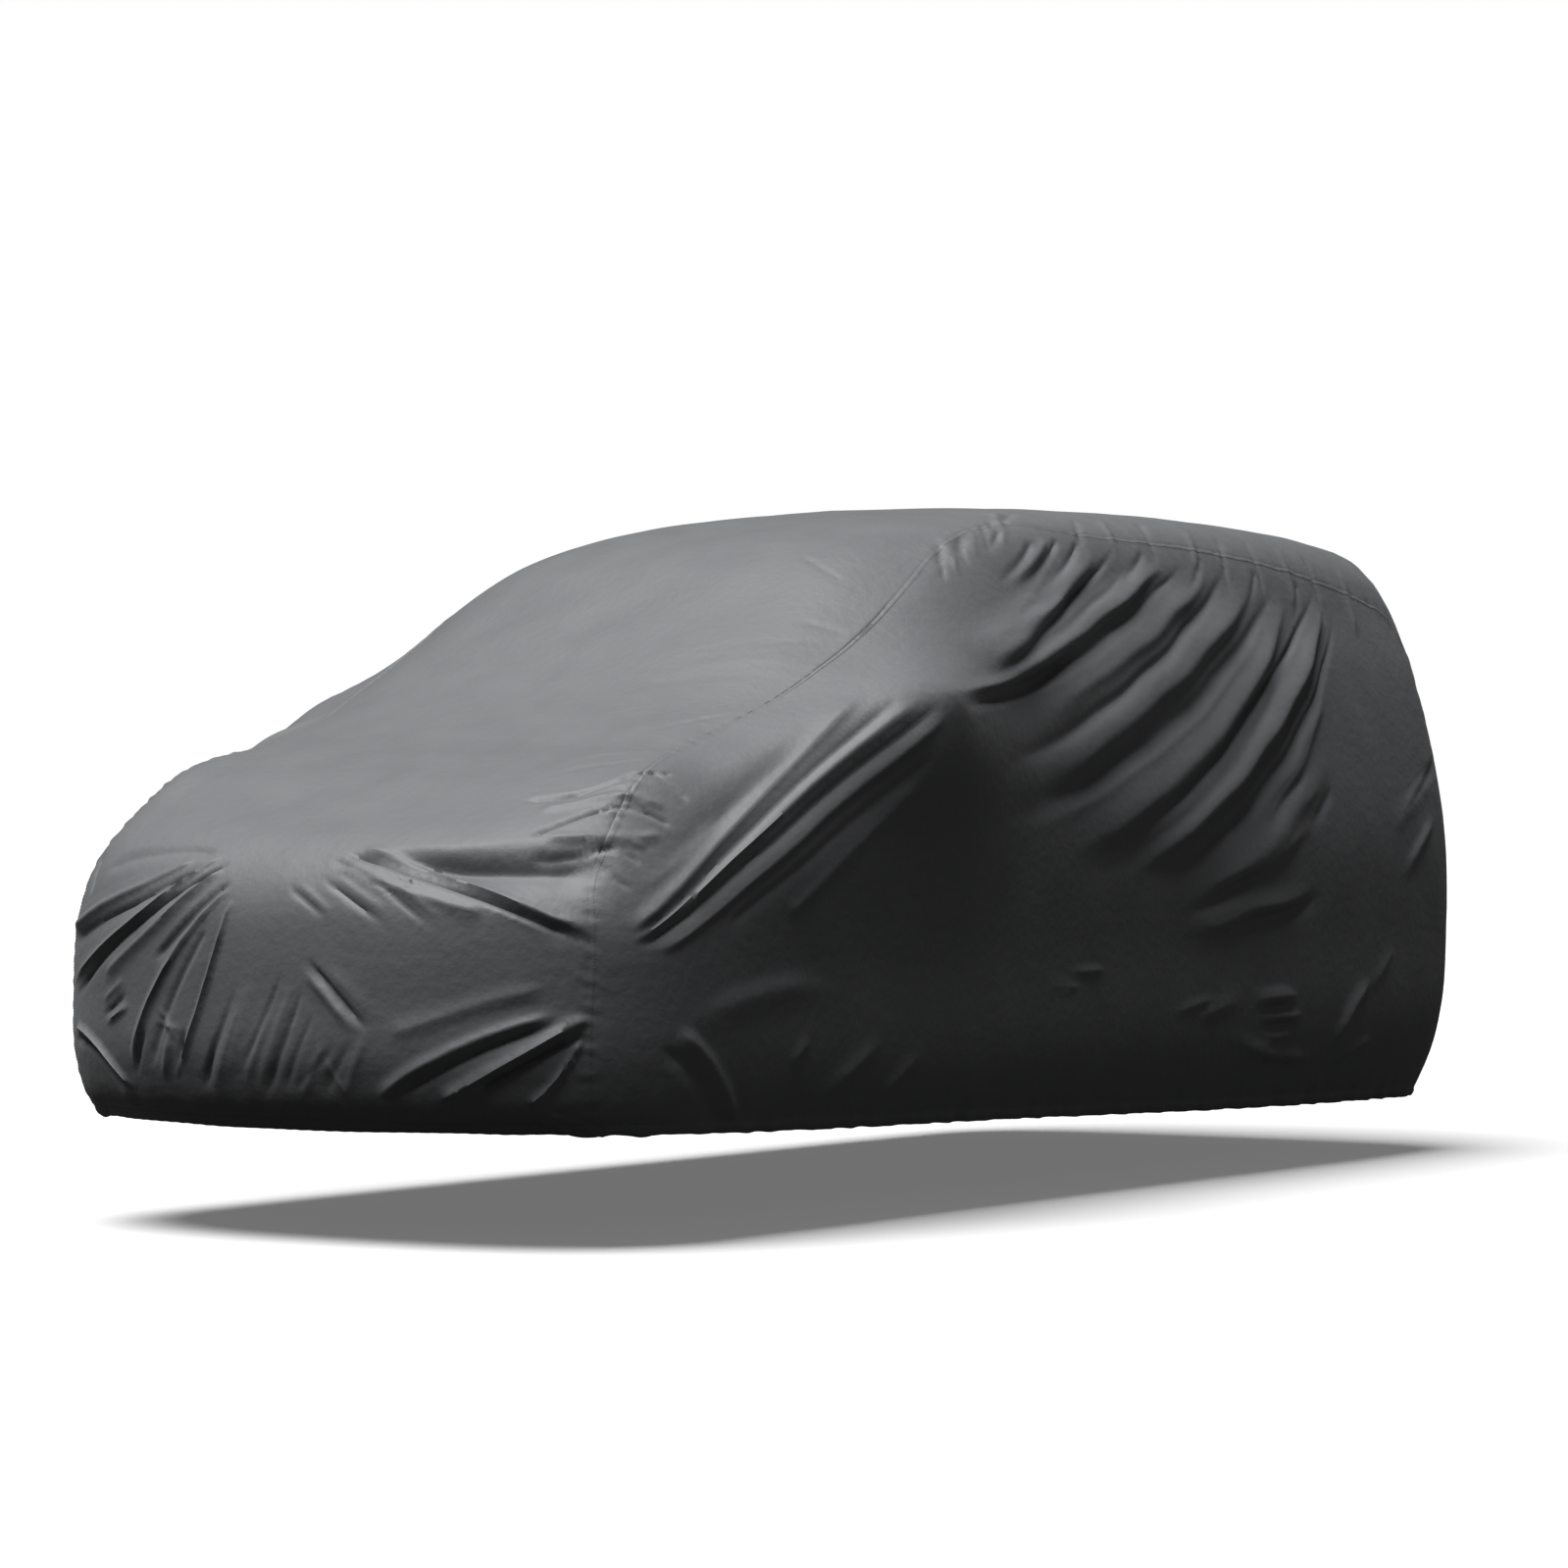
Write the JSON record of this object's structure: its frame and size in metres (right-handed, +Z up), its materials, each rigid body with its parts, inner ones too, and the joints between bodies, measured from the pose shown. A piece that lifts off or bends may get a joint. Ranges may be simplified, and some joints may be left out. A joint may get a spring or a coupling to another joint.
{
  "type": "car cover",
  "caption": "Fitted outdoor cover of satin polyester with an elastic hem, stretched over a small hatchback form, with taut folds from its roof seams to its mirror bulges.",
  "frame": {"origin": "the rest under the middle of the roof, on the cloth's underside, which holds the cover up", "axes": "+Z up, -Y towards the front of the cover, +X towards its left side"},
  "size_m": [1.7406, 3.8253, 1.4477],
  "materials": {
    "cover_cloth": "satin woven polyester, dark silver grey"
  },
  "bodies": {
    "root": {"centre_panel": "cover_cloth", "side_panel_left": "cover_cloth", "side_panel_right": "cover_cloth"}
  },
  "joints": []
}
